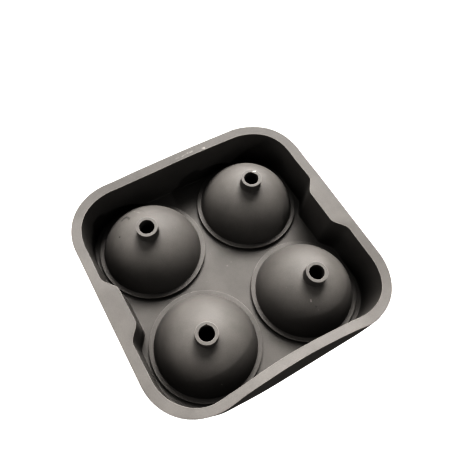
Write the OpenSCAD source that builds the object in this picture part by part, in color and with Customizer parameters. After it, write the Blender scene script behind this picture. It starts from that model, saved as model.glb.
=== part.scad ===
// Ice ball mould in two moulded silicone halves. The upper half is a basin with four domes, each with
// an open filling spout. The lower half holds the four cups and a skirt that stands on the table.
// +X runs through the two grips, +Y to the far side, away from the side whose wall has bowed in,
// and +Z up. The origin is on the table under the middle.

/* [Ice balls] */
// Diameter of an ice ball
ball_d = 45; // [38:0.5:46]
// Distance between neighbouring ball centres
ball_pitch = 56; // [55:0.5:58]
// Wall of a dome and of a cup
shell_t = 2.5; // [1.5:0.1:3]

/* [Outline] */
// Width over the two grip sides
mould_w = 121.4; // [119:0.1:135]
// Depth from the near side to the far side
mould_d = 119.5; // [118:0.5:135]
// Outer radius of the four corners
corner_r = 26.7; // [15:0.1:32]

/* [Basin wall] */
// Thickness of the basin wall
rim_w = 4.8; // [2.5:0.1:5]
// Height of the rim above the basin floor
rim_h = 23; // [15:0.1:30]
// Rounding of the rim's edges
rim_edge = 0.3; // [0.2:0.1:1.2]
// How far a grip thickens the wall inwards
grip_in = 5.1; // [0:0.1:6]
// Length of a grip's full thickness
grip_flat = 15.8; // [8:0.2:18]
// Length of a grip with both of its ends
grip_len = 34.6; // [28:0.2:40]
// How far the near wall has bowed in at the rim, where the bow is deepest
near_bow = 3.6; // [0:0.1:4]
// Where along the near side the bow is deepest
near_bow_x = -1.5; // [-10:0.5:10]

/* [Basin floor] */
// Thickness of the basin floor
floor_t = 3.6; // [3:0.1:5]
// Material of the round step outside the seal's groove
step_wall = 1.2; // [0.8:0.1:1.4]
// Height of the round step above the floor
step_h = 2; // [1:0.1:3]

/* [Spouts] */
// Outer radius of a filling spout
spout_r = 5; // [4.6:0.1:7]
// Radius of the filling hole
hole_r = 3.4; // [2.6:0.1:3.8]
// Height of a spout above the top of its dome
spout_h = 4.5; // [2:0.1:8]
// Rounding of the spout's top edge
spout_edge = 0.3; // [0.2:0.1:0.7]
// Rounding where a spout grows out of its dome
spout_foot_r = 1; // [0.4:0.1:2]

/* [Seal] */
// Height of the sealing lip round each cup
lip_h = 2; // [1:0.1:2.2]
// Thickness of the sealing lip
lip_w = 1.4; // [1:0.1:1.6]
// Land between the edge of a cup and its sealing lip
lip_land = 1.2; // [1:0.1:1.4]
// Clearance all round a lip in its groove
lip_clear = 0.3; // [0.2:0.05:0.35]

/* [Lower half] */
// Thickness of the lower half's top plate
plate_t = 3; // [2:0.1:5]
// Thickness of the lower half's skirt
skirt_t = 3; // [2:0.1:4]
// Gap between the cups and the table
cup_clear = 0.5; // [0.2:0.1:8]

/* [Hidden] */

$fn = 72;

ball_r = ball_d / 2;
dome_r = ball_r + shell_t;
half_w = mould_w / 2;
half_d = mould_d / 2;

// Heights
part_z = cup_clear + dome_r;
floor_z = part_z + floor_t;
rim_z = floor_z + rim_h;

// The groove is the lip with its clearance all round
lip_in = ball_r + lip_land;
lip_out = lip_in + lip_w;
groove_in = lip_in - lip_clear;
groove_out = lip_out + lip_clear;
groove_h = lip_h + lip_clear;

// The round step under each dome covers the groove
step_r = groove_out + step_wall;

silicone = [0.3, 0.29, 0.28];

// Steps along one corner, one grip end, the near side, the rim's edge and up the wall
corner_n = 14;
grip_n = 8;
near_n = 12;
edge_n = 3;
rise_n = 4;
// How late on its way up the near wall leaves the upright
bow_power = 1.6;
// A small length that carries a cut past a face
past = 1;

// Where the four balls lie
module at_balls() {
    for (x = [-1, 1], y = [-1, 1]) translate([x, y] * ball_pitch / 2) children();
}

// The mould's outline in plan, moved in by a distance
module outline(inset = 0) {
    r = corner_r - inset;
    square([mould_w - 2 * inset, mould_d - 2 * corner_r], center = true);
    square([mould_w - 2 * corner_r, mould_d - 2 * inset], center = true);
    for (x = [-1, 1], y = [-1, 1])
        translate([x * (half_w - corner_r), y * (half_d - corner_r)]) circle(r);
}

// How far the grips thicken the wall at a place along the side
function grip_at(y) =
    let (run = (grip_len - grip_flat) / 2, t = (abs(y) - grip_flat / 2) / run)
    grip_in * (1 + cos(180 * min(max(t, 0), 1))) / 2;

// Stations round the wall, each with its outer and its inner point in plan, from the right grip on
function side_stations(s) = [
    for (end = [-1, 1], i = [0 : grip_n])
        let (t = end < 0 ? 1 - i / grip_n : i / grip_n,
             y = s * end * (grip_flat + t * (grip_len - grip_flat)) / 2)
        [[s * half_w, y], [s * (half_w - rim_w - grip_at(y)), y]]
];
function corner_stations(sx, sy, from) = [
    for (i = [0 : corner_n])
        let (a = from + 90 * i / corner_n, way = [cos(a), sin(a)],
             c = [sx * (half_w - corner_r), sy * (half_d - corner_r)])
        [c + corner_r * way, c + (corner_r - rim_w) * way]
];
function near_stations() = [
    for (i = [1 : near_n - 1])
        let (x = (half_w - corner_r) * (2 * i / near_n - 1))
        [[x, -half_d], [x, rim_w - half_d]]
];
stations = concat(
    side_stations(1), corner_stations(1, 1, 0), corner_stations(-1, 1, 90),
    side_stations(-1), corner_stations(-1, -1, 180), near_stations(), corner_stations(1, -1, 270)
);

// A point of the near wall moves in towards the far side, most at the rim and where the bow is deepest,
// and the rim tilts with the leaning wall
function bowed(p, z) =
    let (up = max(z - floor_z, 0) / rim_h,
         run = p.x > near_bow_x ? half_w - near_bow_x : half_w + near_bow_x,
         along = pow(cos(90 * (p.x - near_bow_x) / run), 2),
         share = near_bow * along * max(-p.y, 0) / half_d,
         lean = share * bow_power * pow(up, bow_power - 1) / rim_h,
         across = min(p.y + half_d - rim_w / 2, rim_w))
    [p.x, p.y + share * pow(up, bow_power), z - lean * across];

// The wall's section as [inner side or not, inset from that side, height], up outside and down inside
function wall_side(inner) = [
    [inner, 0, part_z],
    for (i = [0 : rise_n]) [inner, 0, floor_z + (rim_h - rim_edge) * i / rise_n],
    for (i = [1 : edge_n]) let (a = 90 * i / edge_n)
        [inner, rim_edge * (1 - cos(a)), rim_z - rim_edge * (1 - sin(a))]
];
function backwards(list) = [for (i = [len(list) - 1 : -1 : 0]) list[i]];
wall_section = concat(wall_side(false), backwards(wall_side(true)));

function wall_point(station, s) =
    let (o = station[0], i = station[1], across = (i - o) / norm(i - o))
    bowed(s[0] ? i - s[1] * across : o + s[1] * across, s[2]);

// The basin wall with its grips and its bowed near side, lofted round the stations
module basin_wall() {
    n = len(stations);
    m = len(wall_section);
    polyhedron(
        points = [for (st = stations, s = wall_section) wall_point(st, s)],
        faces = [
            for (i = [0 : n - 1], j = [0 : m - 1])
                let (i2 = (i + 1) % n, j2 = (j + 1) % m,
                     a = i * m + j, b = i * m + j2, c = i2 * m + j2, d = i2 * m + j)
                each [[a, b, c], [a, c, d]]
        ],
        convexity = 6
    );
}

// Half of a dome's section, with its step and its spout, to be turned about its axis
module dome_section() {
    // The foot's rounding touches the dome from outside and the spout's wall
    foot_x = spout_r + spout_foot_r;
    foot_y = sqrt(pow(dome_r + spout_foot_r, 2) - pow(foot_x, 2));
    difference() {
        union() {
            intersection() {
                circle(dome_r);
                square(dome_r);
            }
            square([step_r, floor_t + step_h]);
            square([spout_r, dome_r + spout_h - spout_edge]);
            square([spout_r - spout_edge, dome_r + spout_h]);
            translate([spout_r - spout_edge, dome_r + spout_h - spout_edge]) circle(spout_edge);
            difference() {
                polygon([[0, 0], [foot_x, foot_y] * dome_r / (dome_r + spout_foot_r),
                         [foot_x, foot_y], [spout_r, foot_y], [0, foot_y]]);
                translate([foot_x, foot_y]) circle(spout_foot_r);
            }
        }
        circle(ball_r);
        translate([-past, -past]) square([hole_r + past, dome_r + spout_h + 2 * past]);
        translate([groove_in, -past]) square([groove_out - groove_in, groove_h + past]);
    }
}

// Floor plate between the domes, ending inside the wall and at the seal's grooves
module basin_floor() {
    difference() {
        translate([0, 0, part_z]) linear_extrude(floor_t) outline(rim_w / 2);
        at_balls() translate([0, 0, part_z - past]) cylinder(r = groove_out, h = floor_t + 2 * past);
    }
}

module upper_mould() {
    color(silicone) union() {
        basin_wall();
        basin_floor();
        at_balls() translate([0, 0, part_z]) rotate_extrude() dome_section();
    }
}

// Half of a cup's section with its sealing lip, to be turned about its axis
module cup_section() {
    difference() {
        union() {
            intersection() {
                circle(dome_r);
                translate([0, -dome_r]) square(dome_r);
            }
            translate([0, -plate_t]) square([lip_out, plate_t]);
        }
        circle(ball_r);
    }
    translate([lip_in, -plate_t]) square([lip_w, plate_t + lip_h]);
}

module lower_mould() {
    color(silicone) union() {
        difference() {
            linear_extrude(part_z) outline();
            translate([0, 0, -past]) linear_extrude(part_z - plate_t + past) outline(skirt_t);
            at_balls() translate([0, 0, -past]) cylinder(r = lip_in, h = part_z + 2 * past);
        }
        at_balls() translate([0, 0, part_z]) rotate_extrude() cup_section();
    }
}

upper_mould();
lower_mould();
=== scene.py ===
# Ice ball mould: smooth silicone meshes for its two halves, their material, and the studio
from math import acos, atan2, cos, degrees, exp, hypot, pi, radians, sin, sqrt

import bmesh
import bpy
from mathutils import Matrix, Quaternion, Vector, noise


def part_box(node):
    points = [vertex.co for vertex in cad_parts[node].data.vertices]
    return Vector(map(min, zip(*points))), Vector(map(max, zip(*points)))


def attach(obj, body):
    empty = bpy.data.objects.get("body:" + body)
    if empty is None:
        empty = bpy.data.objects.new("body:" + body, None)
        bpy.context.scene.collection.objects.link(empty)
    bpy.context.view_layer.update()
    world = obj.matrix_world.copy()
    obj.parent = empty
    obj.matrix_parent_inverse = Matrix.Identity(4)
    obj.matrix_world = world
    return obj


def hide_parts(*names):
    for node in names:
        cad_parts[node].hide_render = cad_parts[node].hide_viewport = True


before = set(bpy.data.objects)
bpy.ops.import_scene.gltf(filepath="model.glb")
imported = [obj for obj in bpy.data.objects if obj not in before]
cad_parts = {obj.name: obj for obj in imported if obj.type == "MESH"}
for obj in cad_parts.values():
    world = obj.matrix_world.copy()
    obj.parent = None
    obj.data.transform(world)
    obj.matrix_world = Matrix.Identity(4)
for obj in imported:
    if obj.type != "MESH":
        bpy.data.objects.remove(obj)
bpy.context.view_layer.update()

MM = 0.001

# Main sizes, read from the frame, in millimetres
upper_low, upper_high = [Vector(corner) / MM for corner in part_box("upper_mould")]
HALF_W = upper_high.x
HALF_D = upper_high.y
PART_Z = upper_low.z
SPOUT_Z = upper_high.z

# The balls, with the wall of silicone round them
BALL_R = 22.5
BALL_PITCH = 56
SHELL = 2.5
DOME_R = BALL_R + SHELL
BALLS = [(x * BALL_PITCH / 2, y * BALL_PITCH / 2) for y in (1, -1) for x in (-1, 1)]
FAR_LEFT, FAR_RIGHT, NEAR_LEFT = BALLS[:3]

# The basin: its corners, its rim, its floor and the round steps on it
CORNER_R = 26.7
RIM_W = 4.8
FLOOR = 3.6
FLOOR_Z = PART_Z + FLOOR
STEP_H = 2
STEP_Z = FLOOR_Z + STEP_H
WALL_H = 23
RIM_Z = FLOOR_Z + WALL_H

# A grip's extra thickness, and how far its full thickness and its ends reach to each side
GRIP_IN = 5.1
GRIP_FLAT = 7.9
GRIP_END = 17.3

# The near wall's bow at the rim, where it is deepest, and how late the wall leaves the upright
NEAR_BOW = 3.6
NEAR_BOW_X = -1.5
BOW_POWER = 1.6

# The spouts with their holes
SPOUT_R = 5
SPOUT_H = 4.5
HOLE_R = 3.4

# The seal: a lip in a groove that is the lip with its clearance, under the round step
LIP_H = 2
LIP_W = 1.4
LIP_LAND = 1.2
CLEAR = 0.3
STEP_WALL = 1.2
LIP_IN = BALL_R + LIP_LAND
LIP_OUT = LIP_IN + LIP_W
GROOVE_IN = LIP_IN - CLEAR
GROOVE_OUT = LIP_OUT + CLEAR
GROOVE_H = LIP_H + CLEAR
STEP_R = GROOVE_OUT + STEP_WALL

# The lower half's top plate and skirt
PLATE = 3
SKIRT = 3

# Small warps of the rim: a place in plan, its reach, how far the outer and the inner edge stand out
# there, and how far the rim rises
WARPS = [
    ((60.7, 32), 13, -0.34, -0.77, 0.0),
    ((60.7, -8), 22, 0.1, 0.25, 0.0),
    ((54, 50), 9, 0.39, 0.64, 0.0),
    ((58, 44), 14, 0.18, 0.17, 0.0),
    ((22, 59.8), 20, 0.06, 0.08, 0.0),
    ((10, 59.8), 27, 0.07, 0.18, 0.7),
    ((-32, 59.8), 8, -0.34, -0.05, 0.0),
    ((-54, 50), 12, 0.35, 0.74, 0.0),
    ((-60.7, 6), 26, 0.1, 0.5, 0.15),
    ((-60.7, -12), 4, 0.0, 0.8, 0.0),
    ((-60.7, 16), 4, 0.0, 0.37, 0.0),
    ((-51, -53), 9, 0.08, -0.15, 0.0),
    ((-44, -58), 7, 0.9, 0.0, 0.0),
    ((-34, -59.8), 7, 0.55, -0.6, 0.0),
    ((52, -52), 12, 0.54, 1.15, 0.0),
    ((37, -59.8), 6, 0.4, 0.11, 0.0),
]

# The rim's top slopes down to its inner edge, and the wall's upper end with it
RIM_DIP = 0.5
DIP_POWER = 6

# Dents of the outside at every height: a place in plan, its reach and its depth
DENTS = [((-39, -59), 17, 1.25), ((-44, -58), 7, 0.7)]

# Nubs and nicks of moulding flash at the filling holes: the ball, the direction and the width in
# degrees, and how far each stands in
NUBS = [(FAR_RIGHT, 34, 16, 0.35), (FAR_LEFT, 68, 6, -0.2), (NEAR_LEFT, 66, 8, -0.45)]

# The holes' ragged edges: how far they stray, how far from the edge that reaches, how fine they are,
# and the step of the noise from one hole to the next
RAGGED = 0.16
RAG_REACH = 0.7
RAG_FINE = 4
RAG_SEED = 7

# Roundings that the mould leaves on the silicone
RIM_EDGE = 0.16
PART_EDGE = 0.35
STEP_EDGE = 0.14
STEP_FOOT = 0.2
DOME_FOOT = 0.2
WALL_FOOT = 0.6
SPOUT_FOOT = 0.5
SPOUT_EDGE = 0.16
HOLE_EDGE = 0.14
SEAL_EDGE = 0.15
LIP_EDGE = 0.6
SKIRT_EDGE = 0.5

# Width of the flat strip beside a rounding, which keeps the shading of a flat face flat
HOLD = 0.25

# Painted highlight on the edges below the basin floor, as a share of the painted highlight above it
LOW_EDGE_HIGHLIGHT = 0.15

# Points round a ball, and steps of a rounding, of a seal's rounding and of a dome or a cup
ROUND_N = 120
ARC_N = 5
SEAL_N = 2
BALL_N = 36
# Where the rings of a cup end, before its lowest point, in degrees
CUP_END = -88

# Steps along a side beside its grip, a grip's end and its middle, a corner, the far and the near side
SIDE_N = 6
GRIP_END_N = 16
GRIP_FLAT_N = 8
CORNER_N = 28
FAR_N = 30
NEAR_N = 40

# Steps up the wall, and up the skirt inside and outside, which keep clear of their ends
WALL_N = 10
SKIRT_IN_N = 6
SKIRT_OUT_N = 8
END_GAP = 2
# Places of the loops across the rim's top, as shares of its width
RIM_LOOPS = (0.1, 0.5, 0.9)
# Depth of a loop just inside a filling hole
HOLE_LOOP = 1


class Skin:
    """A closed surface grown loop by loop, in millimetres."""

    def __init__(self):
        self.bm = bmesh.new()

    def loop(self, points):
        return [self.bm.verts.new(Vector(p) * MM) for p in points]

    def band(self, a, b):
        """Faces between two loops of as many points."""
        for i in range(len(a)):
            j = (i + 1) % len(a)
            self.bm.faces.new((a[i], a[j], b[j], b[i]))

    def grow(self, loops):
        """Joins loops of points one after the other and returns the first and the last."""
        made = [self.loop(points) for points in loops]
        for a, b in zip(made, made[1:]):
            self.band(a, b)
        return made[0], made[-1]

    def pole(self, ring, point):
        """Closes a ring with triangles that meet at a point."""
        tip = self.bm.verts.new(Vector(point) * MM)
        for i in range(len(ring)):
            self.bm.faces.new((ring[i], ring[(i + 1) % len(ring)], tip))

    def plate(self, rings):
        """A flat face with holes between rings that lie in one plane."""
        edges = []
        for ring in rings:
            for i in range(len(ring)):
                pair = (ring[i], ring[(i + 1) % len(ring)])
                edges.append(self.bm.edges.get(pair) or self.bm.edges.new(pair))
        bmesh.ops.triangle_fill(self.bm, edges=edges, use_beauty=True)

    def mark_edges(self):
        """Stores how sharply the surface turns outwards at each point, for the material's painted
        highlight along the edges.
        """
        edge_highlight = self.bm.verts.layers.float.new("edge_highlight")
        sharp = radians(90 / ARC_N)
        for vert in self.bm.verts:
            turn = max(edge.calc_face_angle_signed(0) for edge in vert.link_edges)
            # Convex edges get a painted highlight, only faintly below the basin floor
            highlight_strength = 1 if vert.co.z > FLOOR_Z * MM else LOW_EDGE_HIGHLIGHT
            vert[edge_highlight] = highlight_strength * min(max(2 * turn / sharp - 1, 0), 1)

    def done(self, name, material):
        """Turns the surface into a smooth-shaded piece of the scene."""
        bmesh.ops.recalc_face_normals(self.bm, faces=self.bm.faces)
        self.mark_edges()
        mesh = bpy.data.meshes.new(name)
        self.bm.to_mesh(mesh)
        self.bm.free()
        mesh.shade_smooth()
        mesh.materials.append(material)
        piece = bpy.data.objects.new(name, mesh)
        bpy.context.scene.collection.objects.link(piece)
        return piece


def arc(centre, r, start, end, steps=ARC_N):
    """Points of an arc, with its angles in degrees."""
    out = []
    for i in range(steps + 1):
        a = radians(start + (end - start) * i / steps)
        out.append((centre[0] + r * cos(a), centre[1] + r * sin(a)))
    return out


def rounded(before, corner, after, r, steps=ARC_N):
    """A square corner of a profile rounded by r, with a holding point on each side."""
    c = Vector(corner)
    back = (Vector(before) - c).normalized()
    on = (Vector(after) - c).normalized()
    hold = r + min(HOLD, r)
    out = [tuple(c + hold * back)]
    for i in range(steps + 1):
        t = radians(90 * i / steps)
        out.append(tuple(c + r * (1 - sin(t)) * back + r * (1 - cos(t)) * on))
    out.append(tuple(c + hold * on))
    return out


def spread(start, end, steps):
    """Evenly spread values with both ends."""
    return [start + (end - start) * i / steps for i in range(steps + 1)]


def grip_at(y):
    """How far a grip thickens the side wall at y."""
    t = (abs(y) - GRIP_FLAT) / (GRIP_END - GRIP_FLAT)
    return GRIP_IN * (1 + cos(pi * min(max(t, 0), 1))) / 2


def outline():
    """The wall's outer line in plan and the matching inner line, from the right side by the far side."""
    flat_x = HALF_W - CORNER_R
    flat_y = HALF_D - CORNER_R
    side = spread(-flat_y, -GRIP_END, SIDE_N)[1:]
    side += spread(-GRIP_END, -GRIP_FLAT, GRIP_END_N)[1:]
    side += spread(-GRIP_FLAT, GRIP_FLAT, GRIP_FLAT_N)[1:]
    side += spread(GRIP_FLAT, GRIP_END, GRIP_END_N)[1:]
    side += spread(GRIP_END, flat_y, SIDE_N)[1:-1]
    outer, inner = [], []

    def straight(points, inward):
        """Adds points of a straight side, each with the wall's depth there."""
        for p, depth in points:
            outer.append(Vector(p))
            inner.append(Vector(p) + Vector(inward) * depth)

    def corner(sx, sy, start):
        """Adds a corner, from the direction start on."""
        c = Vector((sx * flat_x, sy * flat_y))
        for a in spread(start, start + 90, CORNER_N):
            way = Vector((cos(radians(a)), sin(radians(a))))
            outer.append(c + CORNER_R * way)
            inner.append(c + (CORNER_R - RIM_W) * way)

    straight([((HALF_W, y), RIM_W + grip_at(y)) for y in side], (-1, 0))
    corner(1, 1, 0)
    straight([((x, HALF_D), RIM_W) for x in spread(flat_x, -flat_x, FAR_N)[1:-1]], (0, -1))
    corner(-1, 1, 90)
    straight([((-HALF_W, -y), RIM_W + grip_at(y)) for y in side], (1, 0))
    corner(-1, -1, 180)
    straight([((x, -HALF_D), RIM_W) for x in spread(-flat_x, flat_x, NEAR_N)[1:-1]], (0, 1))
    corner(1, -1, 270)
    return outer, inner


def bowed(x, y, z):
    """The near wall leans in towards the far side on its way up, and its rim tilts with it."""
    up = max(z - FLOOR_Z, 0) / WALL_H
    run = HALF_W - NEAR_BOW_X if x > NEAR_BOW_X else HALF_W + NEAR_BOW_X
    along = cos(pi / 2 * (x - NEAR_BOW_X) / run) ** 2
    share = NEAR_BOW * along * max(-y, 0) / HALF_D
    lean = share * BOW_POWER * up ** (BOW_POWER - 1) / WALL_H
    across = min(y + HALF_D - RIM_W / 2, RIM_W)
    return (x, y + share * up**BOW_POWER, z - lean * across)


def fade(p, place, reach):
    """How strongly a warp at a place works at p: 1 there and less with the distance."""
    return exp(-(((p - Vector(place)).length / reach) ** 2))


class Rail:
    """A closed line in plan that a wall follows, with its outward normals and its warps."""

    def __init__(self, points, inner=False):
        self.points = points
        self.dip = RIM_DIP if inner else 0
        self.normals = []
        self.warps = []
        self.rises = []
        self.dents = []
        for i, p in enumerate(points):
            t = points[(i + 1) % len(points)] - points[i - 1]
            self.normals.append(Vector((t.y, -t.x)).normalized())
            near = [fade(p, place, reach) for place, reach, *_ in WARPS]
            self.warps.append(sum(n * w[3 if inner else 2] for n, w in zip(near, WARPS)))
            self.rises.append(sum(n * w[4] for n, w in zip(near, WARPS)))
            dent = sum(depth * fade(p, place, reach) for place, reach, depth in DENTS)
            self.dents.append(0 if inner else dent)

    def at(self, inset, z):
        """The line moved in by inset and lifted to z, warped and bowed as the wall is there."""
        up = max(z - FLOOR_Z, 0) / WALL_H
        out = []
        for i, p in enumerate(self.points):
            n = self.normals[i]
            q = p + n * (self.warps[i] * up - self.dents[i] - inset)
            x, y, height = bowed(q.x, q.y, z + self.rises[i] * up - self.dip * up**DIP_POWER)
            # Nothing stands out of the mould's width and depth
            reach_x = HALF_W - max(inset, 0) * abs(n.x)
            reach_y = HALF_D - max(inset, 0) * abs(n.y)
            out.append((min(max(x, -reach_x), reach_x), min(max(y, -reach_y), reach_y), height))
        return out


def between(a, b, share):
    """A loop of points between two others."""
    return [Vector(p).lerp(Vector(q), share) for p, q in zip(a, b)]


def hole_edge(ball, a):
    """How far the edge of a filling hole stands out of its circle, in the direction a."""
    seed = RAG_SEED * BALLS.index(ball)
    out = RAGGED * noise.noise(Vector((RAG_FINE * cos(a), RAG_FINE * sin(a), seed)))
    for place, way, wide, size in NUBS:
        if place == ball:
            turn = (degrees(a) - way + 180) % 360 - 180
            out -= size * exp(-((turn / wide) ** 2))
    return out


def ring(ball, r, z):
    """A ring of points about a ball's axis, ragged where it is at the edge of the filling hole."""
    near = max(0, 1 - hypot(r - HOLE_R, z - SPOUT_Z) / RAG_REACH)
    out = []
    for i in range(ROUND_N):
        a = 2 * pi * i / ROUND_N
        own = r + (near * hole_edge(ball, a) if near else 0)
        out.append((ball[0] + own * cos(a), ball[1] + own * sin(a), z))
    return out


def rings(ball, profile):
    return [ring(ball, r, z) for r, z in profile]


def dome_profile():
    """From the basin floor over the step, the dome and the spout, down the hole and round the cavity."""
    foot_y = STEP_Z + DOME_FOOT - PART_Z
    foot_x = sqrt((DOME_R + DOME_FOOT) ** 2 - foot_y**2)
    foot_a = degrees(atan2(foot_y, foot_x))
    neck_x = SPOUT_R + SPOUT_FOOT
    neck_y = sqrt((DOME_R + SPOUT_FOOT) ** 2 - neck_x**2)
    neck_a = degrees(atan2(neck_y, neck_x))
    mouth_a = degrees(acos(HOLE_R / BALL_R))
    out = [(STEP_R + STEP_FOOT + HOLD, FLOOR_Z)]
    out += arc((STEP_R + STEP_FOOT, FLOOR_Z + STEP_FOOT), STEP_FOOT, 270, 180)
    out += rounded((STEP_R, FLOOR_Z), (STEP_R, STEP_Z), (0, STEP_Z), STEP_EDGE)
    out += [(foot_x + HOLD, STEP_Z)]
    out += arc((foot_x, STEP_Z + DOME_FOOT), DOME_FOOT, 270, 180 + foot_a)
    out += arc((0, PART_Z), DOME_R, foot_a, neck_a, BALL_N)[1:-1]
    out += arc((neck_x, PART_Z + neck_y), SPOUT_FOOT, 180 + neck_a, 180)
    out += rounded((SPOUT_R, PART_Z), (SPOUT_R, SPOUT_Z), (0, SPOUT_Z), SPOUT_EDGE)
    out += rounded((SPOUT_R, SPOUT_Z), (HOLE_R, SPOUT_Z), (HOLE_R, PART_Z), HOLE_EDGE)
    out += [(HOLE_R, SPOUT_Z - HOLE_LOOP), (HOLE_R, SPOUT_Z - SPOUT_H)]
    out += arc((0, PART_Z), BALL_R, mouth_a, 0, BALL_N)
    return out


def groove_profile():
    """From the cavity's edge over the groove to the flat underside."""
    top = PART_Z + GROOVE_H
    out = rounded((BALL_R, PART_Z), (GROOVE_IN, PART_Z), (GROOVE_IN, top), SEAL_EDGE, SEAL_N)
    out += rounded((GROOVE_IN, PART_Z), (GROOVE_IN, top), (GROOVE_OUT, top), SEAL_EDGE, SEAL_N)
    out += rounded((GROOVE_IN, top), (GROOVE_OUT, top), (GROOVE_OUT, PART_Z), SEAL_EDGE, SEAL_N)
    out += rounded((GROOVE_OUT, top), (GROOVE_OUT, PART_Z), (STEP_R, PART_Z), SEAL_EDGE, SEAL_N)
    return out


def upper_half(material):
    """Basin wall, floor, domes, cavities and grooves as one closed surface."""
    skin = Skin()
    outer_line, inner_line = outline()
    outer, inner = Rail(outer_line), Rail(inner_line, inner=True)

    # The wall's section as inset and height: up the outside, over the rim and down the inside
    outside = rounded((RIM_W, PART_Z), (0, PART_Z), (0, RIM_Z), PART_EDGE)
    outside += [(0, z) for z in spread(PART_Z + END_GAP, RIM_Z - END_GAP, WALL_N)]
    outside += rounded((0, PART_Z), (0, RIM_Z), (RIM_W, RIM_Z), RIM_EDGE)
    inside = rounded((-RIM_W, RIM_Z), (0, RIM_Z), (0, FLOOR_Z), RIM_EDGE)
    inside += [(0, z) for z in spread(RIM_Z - END_GAP, FLOOR_Z + END_GAP, WALL_N)]
    inside += arc((WALL_FOOT, FLOOR_Z + WALL_FOOT), WALL_FOOT, 180, 270)
    up = [outer.at(inset, z) for inset, z in outside]
    down = [inner.at(inset, z) for inset, z in inside]
    top = [between(up[-1], down[0], share) for share in RIM_LOOPS]
    underside, floor = skin.grow(up + top + down)

    steps, seals = [floor], [underside]
    for ball in BALLS:
        first, last = skin.grow(rings(ball, dome_profile() + groove_profile()))
        steps.append(first)
        seals.append(last)
    skin.plate(steps)
    skin.plate(seals)
    return skin.done("upper_half", material)


def cup_profile():
    """From the flat top over the sealing lip and down into the cup."""
    top = PART_Z + LIP_H
    out = rounded((STEP_R, PART_Z), (LIP_OUT, PART_Z), (LIP_OUT, top), SEAL_EDGE, SEAL_N)
    out += rounded((LIP_OUT, PART_Z), (LIP_OUT, top), (LIP_IN, top), LIP_EDGE)
    out += rounded((LIP_OUT, top), (LIP_IN, top), (LIP_IN, PART_Z), LIP_EDGE)
    out += rounded((LIP_IN, top), (LIP_IN, PART_Z), (BALL_R, PART_Z), SEAL_EDGE, SEAL_N)
    out += arc((0, PART_Z), BALL_R, 0, CUP_END, BALL_N)
    return out


def belly_profile():
    """From the underside of the top plate round the outside of a cup."""
    foot_y = PLATE + DOME_FOOT
    foot_x = sqrt((DOME_R + DOME_FOOT) ** 2 - foot_y**2)
    foot_a = degrees(atan2(foot_y, foot_x))
    under = PART_Z - PLATE
    out = [(foot_x + HOLD, under)]
    out += arc((foot_x, under - DOME_FOOT), DOME_FOOT, 90, 180 - foot_a)
    out += arc((0, PART_Z), DOME_R, -foot_a, CUP_END, BALL_N)[1:]
    return out


def lower_half(material):
    """Skirt, top plate, lips and cups as one closed surface."""
    skin = Skin()
    outer = Rail(outline()[0])
    under = PART_Z - PLATE

    # The skirt's section as inset and height: down its inside, under its foot and up the outside
    section = [(SKIRT + WALL_FOOT + HOLD, under)]
    section += arc((SKIRT + WALL_FOOT, under - WALL_FOOT), WALL_FOOT, 90, 180)
    section += [(SKIRT, z) for z in spread(under - END_GAP, END_GAP, SKIRT_IN_N)]
    section += rounded((SKIRT, under), (SKIRT, 0), (0, 0), SKIRT_EDGE)
    section += rounded((SKIRT, 0), (0, 0), (0, under), SKIRT_EDGE)
    section += [(0, z) for z in spread(END_GAP, PART_Z - END_GAP, SKIRT_OUT_N)]
    section += rounded((0, 0), (0, PART_Z), (SKIRT, PART_Z), PART_EDGE)
    hollow, top = skin.grow([outer.at(inset, z) for inset, z in section])

    lips, bellies = [top], [hollow]
    for ball in BALLS:
        first, last = skin.grow(rings(ball, cup_profile()))
        skin.pole(last, (*ball, PART_Z - BALL_R))
        lips.append(first)
        first, last = skin.grow(rings(ball, belly_profile()))
        skin.pole(last, (*ball, PART_Z - DOME_R))
        bellies.append(first)
    skin.plate(lips)
    skin.plate(bellies)
    return skin.done("lower_half", material)


class Nodes:
    """A short way to write a node tree."""

    def __init__(self, tree):
        self.tree = tree
        tree.nodes.clear()

    def add(self, kind, **sockets):
        node = self.tree.nodes.new("ShaderNode" + kind)
        for name, value in sockets.items():
            self.put(node, name.replace("_", " "), value)
        return node

    def put(self, node, name, value):
        socket = node.inputs[name]
        if isinstance(value, bpy.types.NodeSocket):
            self.tree.links.new(value, socket)
        else:
            socket.default_value = value

    def put_both(self, node, operation, a, b):
        """Sets a node's operation and its two values."""
        node.operation = operation
        self.put(node, 0, a)
        self.put(node, 1, b)

    def math(self, operation, a, b):
        node = self.add("Math")
        self.put_both(node, operation, a, b)
        return node.outputs[0]

    def ramp(self, value, low, high, start=0.0, end=1.0):
        """Takes value from the range low to high to the range start to end."""
        node = self.add("MapRange", Value=value, From_Min=low, From_Max=high, To_Min=start, To_Max=end)
        return node.outputs["Result"]

    def vector(self, operation, a, b, result="Vector"):
        node = self.add("VectorMath")
        self.put_both(node, operation, a, b)
        return node.outputs[result]

    def from_line(self, p, start, end):
        """Distance of p from the line between two points."""
        run = Vector(end) - Vector(start)
        off = self.vector("SUBTRACT", p, start)
        share = self.vector("DOT_PRODUCT", off, run / run.length_squared, "Value")
        share = self.ramp(share, 0.0, 1.0)
        shares = self.add("CombineXYZ", X=share, Y=share, Z=share).outputs[0]
        along = self.vector("MULTIPLY", shares, run)
        return self.vector("DISTANCE", off, along, "Value")

    def mix(self, share, a, b):
        return self.add("MixRGB", Fac=share, Color1=a, Color2=b).outputs["Color"]


# Colours of the silicone, of the painted highlight along its edges and of its dust, and of its marks
DARK = (0.079, 0.075, 0.071, 1)
PALE = (0.099, 0.094, 0.089, 1)
# This pale colour serves both the dust specks and the painted highlight along the edges
DUST_AND_EDGE_HIGHLIGHT = (0.20, 0.19, 0.18, 1)
SCUFF = (0.028, 0.027, 0.026, 1)
FLECK = (0.38, 0.36, 0.34, 1)
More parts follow.
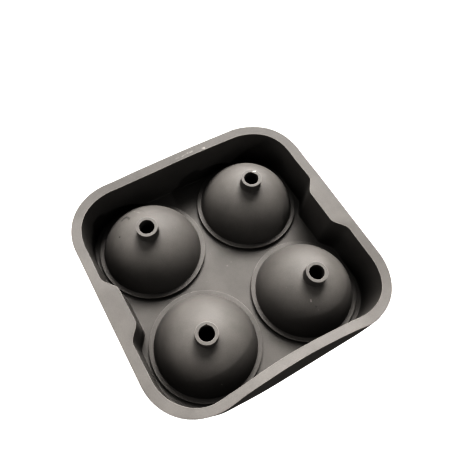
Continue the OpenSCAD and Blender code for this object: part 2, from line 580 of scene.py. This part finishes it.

# Marks on the upper half, each a line between two points, in millimetres: half its width, its strength
# and its colour
MARKS = [
    ((-35.5, 42.6, 44.3), (-34.2, 43.0, 44.5), 1.1, 0.6, SCUFF),
    ((-33.2, 42.8, 45.0), (-32.6, 40.2, 46.8), 0.8, 0.55, SCUFF),
    ((-40.7, 33.9, 46.2), (-40.5, 33.7, 46.4), 0.5, 0.8, SCUFF),
    ((-26.2, 44.6, 44.1), (-24.7, 39.9, 47.2), 0.3, 0.3, SCUFF),
    ((-28.6, 44.1, 44.6), (-26.7, 40.5, 47.1), 0.3, 0.12, FLECK),
    ((21.0, -36.4, 48.0), (20.8, -37.0, 47.7), 0.4, 0.3, FLECK),
    ((21.7, -39.7, 46.7), (21.9, -40.2, 46.5), 0.35, 0.4, SCUFF),
    ((22.2, -41.5, 45.8), (22.4, -41.9, 45.5), 0.35, 0.12, FLECK),
    ((-31.6, -47.7, 40.4), (-31.4, -48.0, 40.1), 0.4, 0.3, FLECK),
    ((16.4, 56.5, 52.4), (17.7, 56.4, 52.4), 0.5, 0.35, FLECK),
    ((9.4, 57.1, 52.5), (10.9, 57.2, 52.5), 0.4, 0.2, FLECK),
    ((5.0, 56.8, 52.5), (8.6, 57.3, 52.5), 0.35, 0.16, FLECK),
    ((1.7, 57.0, 52.5), (3.3, 56.8, 52.5), 0.35, 0.1, FLECK),
    # Two pale spots on the far right spout's top: painted glints
    ((30.8, 30.8, 55.0), (31.6, 30.6, 55.0), 0.4, 0.5, FLECK),
    ((31.9, 30.6, 55.0), (32.6, 30.8, 54.9), 0.35, 0.4, FLECK),
    ((1.0, 2.1, 29.1), (1.3, 2.2, 29.1), 0.4, 0.12, FLECK),
    ((3.9, 3.0, 29.1), (4.1, 3.3, 29.1), 0.35, 0.1, FLECK),
]


# How fine the clouds, the grain, the specks of dust and the marks' ragged edges are, per metre
CLOUD_FINE = 70
GRAIN_FINE = 2200
DUST_FINE = 330
MARK_FINE = 1100


def silicone(name, marks=()):
    """Matt warm grey silicone with a fine grain, faint clouds, a painted highlight along the edges,
    light dust and marks.
    """
    material = bpy.data.materials.new(name)
    material.use_nodes = True
    n = Nodes(material.node_tree)
    place = n.add("TexCoord").outputs["Object"]

    clouds = n.add("TexNoise", Vector=place, Scale=CLOUD_FINE, Detail=5.0, Roughness=0.65).outputs["Fac"]
    grain = n.add("TexNoise", Vector=place, Scale=GRAIN_FINE, Detail=2.0, Roughness=0.6).outputs["Fac"]
    mottle = n.math("ADD", n.ramp(clouds, 0.3, 0.7, 0.0, 0.7), n.ramp(grain, 0.3, 0.7, -0.15, 0.45))
    colour = n.mix(mottle, DARK, PALE)

    # Convex edges are lightened towards the pale colour: a painted highlight where the edges catch the
    # light
    attribute = n.add("Attribute")
    attribute.attribute_name = "edge_highlight"
    edge_highlight = n.math("MULTIPLY", attribute.outputs["Fac"], n.ramp(clouds, 0.35, 0.6, 0.25, 0.8))
    colour = n.mix(edge_highlight, colour, DUST_AND_EDGE_HIGHLIGHT)

    dust = n.add("TexVoronoi", Vector=place, Scale=DUST_FINE)
    chosen = n.add("SeparateColor", Color=dust.outputs["Color"]).outputs[0]
    near = n.ramp(dust.outputs["Distance"], 0.02, 0.06, 0.5, 0.0)
    speck = n.math("MULTIPLY", near, n.ramp(chosen, 0.9, 0.92))
    colour = n.mix(speck, colour, DUST_AND_EDGE_HIGHLIGHT)

    ragged = n.add("TexNoise", Vector=place, Scale=MARK_FINE, Detail=3.0).outputs["Fac"]
    for start, end, half_width, strength, mark in marks:
        wide = half_width * MM
        far = n.from_line(place, Vector(start) * MM, Vector(end) * MM)
        far = n.math("ADD", far, n.ramp(ragged, 0.3, 0.7, -0.6 * wide, 0.6 * wide))
        colour = n.mix(n.ramp(far, 0.3 * wide, wide, strength, 0.0), colour, mark)

    shader = n.add("BsdfPrincipled", Base_Color=colour)
    n.put(shader, "Roughness", n.ramp(grain, 0.2, 0.8, 0.64, 0.76))
    n.put(shader, "Specular IOR Level", 0.35)
    bump = n.add("Bump", Strength=0.15, Distance=0.00008, Height=grain)
    n.put(shader, "Normal", bump.outputs["Normal"])
    n.add("OutputMaterial", Surface=shader.outputs["BSDF"])
    return material


# The photograph's strong contrast, beyond the look's own, as a gamma of the finished picture
CONTRAST = 0.7

# The floor's width in metres, its grey and its glow, and the strength of the light all round
FLOOR_SIZE = 6
FLOOR_GREY = (0.05, 0.05, 0.05, 1)
FLOOR_GLOW = 0.85
WHITE = (1, 1, 1, 1)
WARM_WHITE = (1, 0.98, 0.96, 1)
ROUND_LIGHT = 0.25


def tone():
    """Gives the picture the photograph's contrast."""
    view = bpy.context.scene.view_settings
    view.view_transform = "Standard"
    view.look = "Very High Contrast"
    view.gamma = CONTRAST


def pale_floor():
    """A plain pale floor that the mould neither mirrors nor is lit by."""
    bpy.ops.mesh.primitive_plane_add(size=FLOOR_SIZE, location=(0, 0, 0))
    floor = bpy.context.object
    floor.name = "floor"
    pale = bpy.data.materials.new("pale_floor")
    pale.use_nodes = True
    n = Nodes(pale.node_tree)
    shader = n.add("BsdfPrincipled", Base_Color=FLOOR_GREY, Roughness=1.0)
    n.put(shader, "Emission Color", WHITE)
    n.put(shader, "Emission Strength", FLOOR_GLOW)
    n.add("OutputMaterial", Surface=shader.outputs["BSDF"])
    floor.data.materials.append(pale)
    floor.visible_diffuse = False
    floor.visible_glossy = False


def white_room():
    """A faint light all round, seen as plain white."""
    world = bpy.data.worlds.new("studio")
    world.use_nodes = True
    n = Nodes(world.node_tree)
    seen = n.add("Background", Color=WHITE, Strength=1.0)
    lit = n.add("Background", Color=WARM_WHITE, Strength=ROUND_LIGHT)
    mix = n.add("MixShader", Fac=n.add("LightPath").outputs["Is Camera Ray"])
    n.put(mix, 1, lit.outputs[0])
    n.put(mix, 2, seen.outputs[0])
    n.add("OutputWorld", Surface=mix.outputs[0])
    bpy.context.scene.world = world


# Every lamp stands this far off and shines at the middle of the mould, in metres
LAMP_AWAY = 5
LAMP_AIM = Vector((0, 0, 0.04))

# Elevation of the low lamps in degrees, and width of the low and the fill lamps in metres
LOW = 8
WIDE = 2.2


def soft_light(name, azimuth, elevation, width, height, power):
    """A lamp in a direction in degrees, counted from +X and from the table."""
    a, e = radians(azimuth), radians(elevation)
    away = LAMP_AWAY * Vector((cos(e) * cos(a), cos(e) * sin(a), sin(e)))
    data = bpy.data.lights.new(name, "AREA")
    data.shape = "ELLIPSE"
    data.size = width
    data.size_y = height
    data.energy = power
    light = bpy.data.objects.new(name, data)
    light.location = LAMP_AIM + away
    light.rotation_mode = "QUATERNION"
    light.rotation_quaternion = (-away).to_track_quat("-Z", "Y")
    bpy.context.scene.collection.objects.link(light)


# The camera stands above the near left of the mould and looks steeply down. Its focal length and the
# middle of its view are in the photograph's pixels.
CAMERA_AT = (-45.5, -56.0, 210.4)
CAMERA_TO = (-2.5, 0.6, 31.1)
CAMERA_ROLL = 7.8
FOCAL_PX = 381
IMAGE_PX = 460
SENSOR = 36
MIDDLE_X = 222.8
MIDDLE_Y = 270
CLIP_START = 0.01


def camera():
    """The camera at the photograph's viewing angle."""
    data = bpy.data.cameras.new("camera")
    data.sensor_width = SENSOR
    data.lens = FOCAL_PX / IMAGE_PX * SENSOR
    data.shift_x = 0.5 - MIDDLE_X / IMAGE_PX
    data.shift_y = MIDDLE_Y / IMAGE_PX - 0.5
    data.clip_start = CLIP_START
    eye = bpy.data.objects.new("camera", data)
    eye.location = Vector(CAMERA_AT) * MM
    way = Vector(CAMERA_TO) - Vector(CAMERA_AT)
    roll = Quaternion((0, 0, 1), radians(CAMERA_ROLL))
    eye.rotation_mode = "QUATERNION"
    eye.rotation_quaternion = way.to_track_quat("-Z", "Y") @ roll
    bpy.context.scene.collection.objects.link(eye)
    bpy.context.scene.camera = eye


camera()
tone()
pale_floor()
white_room()
soft_light("key", 48, 47, 1.2, 1.2, 110)
soft_light("window", 57, 48, 3.6, 2.2, 561)
soft_light("top", 65, 76, 3, 3, 48)
# A small lamp beyond the near wall, whose rim throws a sharp shadow on the near left dome
soft_light("near_spot", 308, 30, 0.15, 0.15, 65)
for azimuth, power in ((45, 155), (135, 21), (180, 46), (225, 45), (290, 8)):
    soft_light(f"low_{azimuth}", azimuth, LOW, WIDE, WIDE, power)
for azimuth, elevation, power in ((110, 60, 51), (140, 30, 70), (255, 30, 22)):
    soft_light(f"fill_{azimuth}", azimuth, elevation, WIDE, WIDE, power)

upper = upper_half(silicone("upper_silicone", MARKS))
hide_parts("upper_mould")
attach(upper, "upper")
lower = lower_half(silicone("lower_silicone"))
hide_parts("lower_mould")
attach(lower, "lower")
